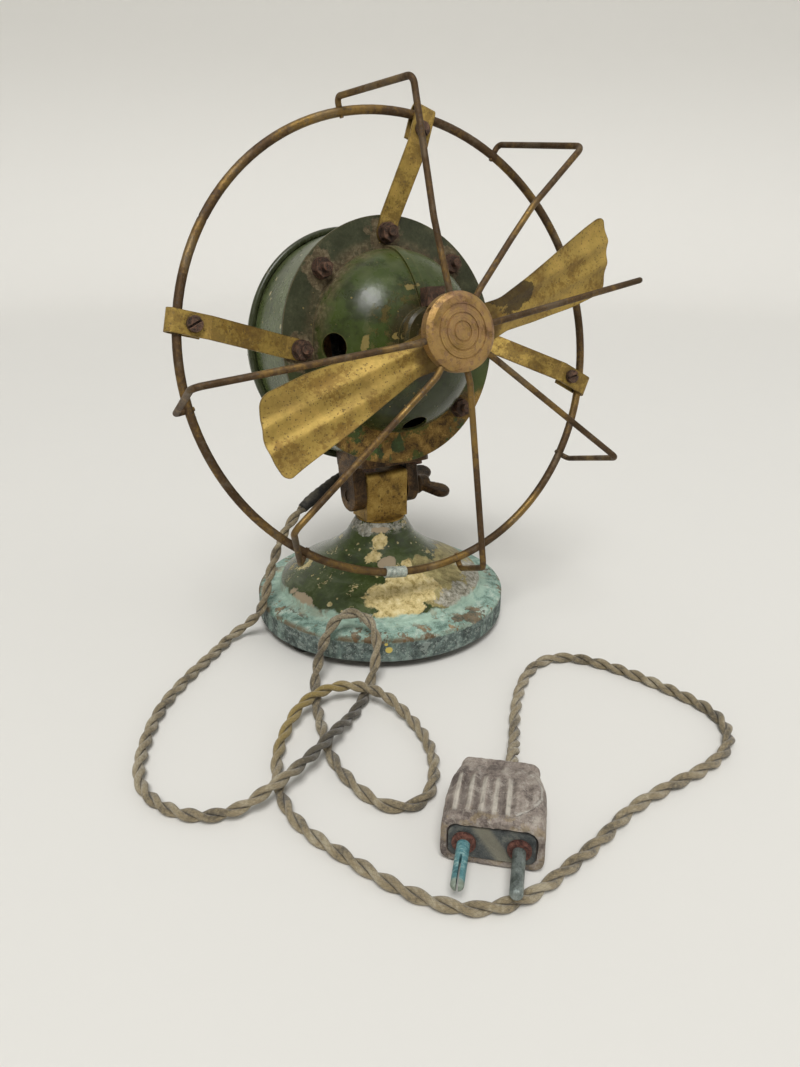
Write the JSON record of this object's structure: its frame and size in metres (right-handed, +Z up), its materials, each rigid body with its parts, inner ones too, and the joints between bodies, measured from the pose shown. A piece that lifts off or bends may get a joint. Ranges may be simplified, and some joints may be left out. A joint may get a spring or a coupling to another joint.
{
  "type": "electric desk fan",
  "caption": "Antique mains desk fan: drum motor on a tilting clevis, pressed two-blade propeller, open wire guard, round weighted base, twisted cord and two-pin plug.",
  "frame": {"origin": "on the table, under the middle of the round base", "axes": "+Z up, the fan faces -Y, +X to the right seen from the front"},
  "size_m": [0.2715, 0.2805, 0.263],
  "materials": {
    "base_enamel": "worn olive-green enamel on spun brass, bare and verdigris-stained at the rim",
    "cast_iron": "rough cast iron",
    "foot_rubber": "aged rubber",
    "dark_steel": "dark rust-brown steel",
    "turned_brass": "spotted, unpolished brass",
    "green_enamel": "dark olive-green enamel, chipped and dusty",
    "drum_enamel": "glossy grey-green enamel",
    "patina_bronze": "brown bronze patina, scratched",
    "sheet_brass": "golden sheet brass with dark pepper spots",
    "wire_brass": "brown-patinated brass wire, lighter on the edges",
    "boss_copper": "copper-brown turned disc with concentric tool marks",
    "solder": "pale solder",
    "bearing_bronze": "oiled bronze",
    "lamination_steel": "oiled steel",
    "winding_cotton": "varnished cotton-covered wire",
    "commutator_copper": "worn copper",
    "carbon": "carbon",
    "fibre_board": "red-brown fibre board",
    "bushing_rubber": "black composition",
    "cord_braid": "weathered taupe cotton braid, twisted pair",
    "plug_moulding": "weathered grey-brown moulding",
    "plug_slate": "dark slate-like plate",
    "pin_metal": "verdigris and grey oxide on brass",
    "rusty_collar": "rusty steel"
  },
  "bodies": {
    "base": {"base_shell": "base_enamel", "base_plate": "cast_iron", "rubber_feet": "foot_rubber", "foot_screws": "dark_steel", "pillar_stud": "dark_steel", "pillar_nut": "dark_steel", "neck_ferrule": "turned_brass", "pivot_block": "turned_brass", "cord_lead": "cord_braid", "cord": "cord_braid", "plug_body": "plug_moulding", "plug_face": "plug_slate", "plug_pins": "pin_metal", "pin_collars": "rusty_collar"},
    "head": {"saddle_bracket": "patina_bronze", "saddle_screws": "dark_steel", "motor_drum": "drum_enamel", "front_shell": "green_enamel", "rear_cover": "drum_enamel", "through_bolts": "dark_steel", "stud_washers": "dark_steel", "stud_nuts": "dark_steel", "front_bearing": "bearing_bronze", "rear_bearing": "bearing_bronze", "oil_cup": "dark_steel", "field_core": "lamination_steel", "field_coils": "winding_cotton", "brush_yoke": "fibre_board", "brush_holders": "turned_brass", "brushes": "carbon", "brush_springs": "lamination_steel", "guard_arm_top": "sheet_brass", "guard_arm_left": "sheet_brass", "guard_arm_right": "sheet_brass", "clamp_screws": "dark_steel", "clamp_nuts": "dark_steel", "guard_ring": "wire_brass", "ring_ferrule": "solder", "guard_spoke_1": "wire_brass", "guard_spoke_2": "wire_brass", "guard_spoke_3": "wire_brass", "guard_spoke_4": "wire_brass", "guard_spoke_5": "wire_brass", "guard_spoke_6": "wire_brass", "guard_spoke_7": "wire_brass", "guard_boss": "boss_copper", "cord_bushing": "bushing_rubber", "terminal_block": "fibre_board"},
    "rotor": {"shaft": "lamination_steel", "armature_core": "lamination_steel", "armature_windings": "winding_cotton", "commutator": "commutator_copper", "thrust_collars": "lamination_steel", "blade_hub": "turned_brass", "hub_screw": "dark_steel", "propeller": "sheet_brass", "propeller_rivets": "turned_brass"},
    "wing_washer": {"wing_washer": "patina_bronze"},
    "wing_screw": {"wing_screw": "patina_bronze"}
  },
  "joints": [
    {"name": "head_tilt", "type": "hinge", "parent": "base", "child": "head", "pos_m": [0, 0, 0.072], "axis": [1, 0, 0], "range_deg": [-35, 12], "deforming": ["cord_lead"]},
    {"name": "rotor_spin", "type": "hinge", "parent": "head", "child": "rotor", "pos_m": [0, 0, 0.15006], "axis": [0, -0.9864, 0.1642], "continuous": true},
    {"name": "wing_travel", "type": "slide", "parent": "head", "child": "wing_washer", "axis": [1, 0, 0], "range_m": [0, 0.00151]},
    {"name": "wing_turn", "type": "hinge", "parent": "wing_washer", "child": "wing_screw", "pos_m": [0, 0, 0.072], "axis": [1, 0, 0], "range_deg": [0, 540]}
  ],
  "couplings": [
    {"joint": "wing_travel", "follows": "wing_turn", "m_per_rad": 0.00015915}
  ]
}
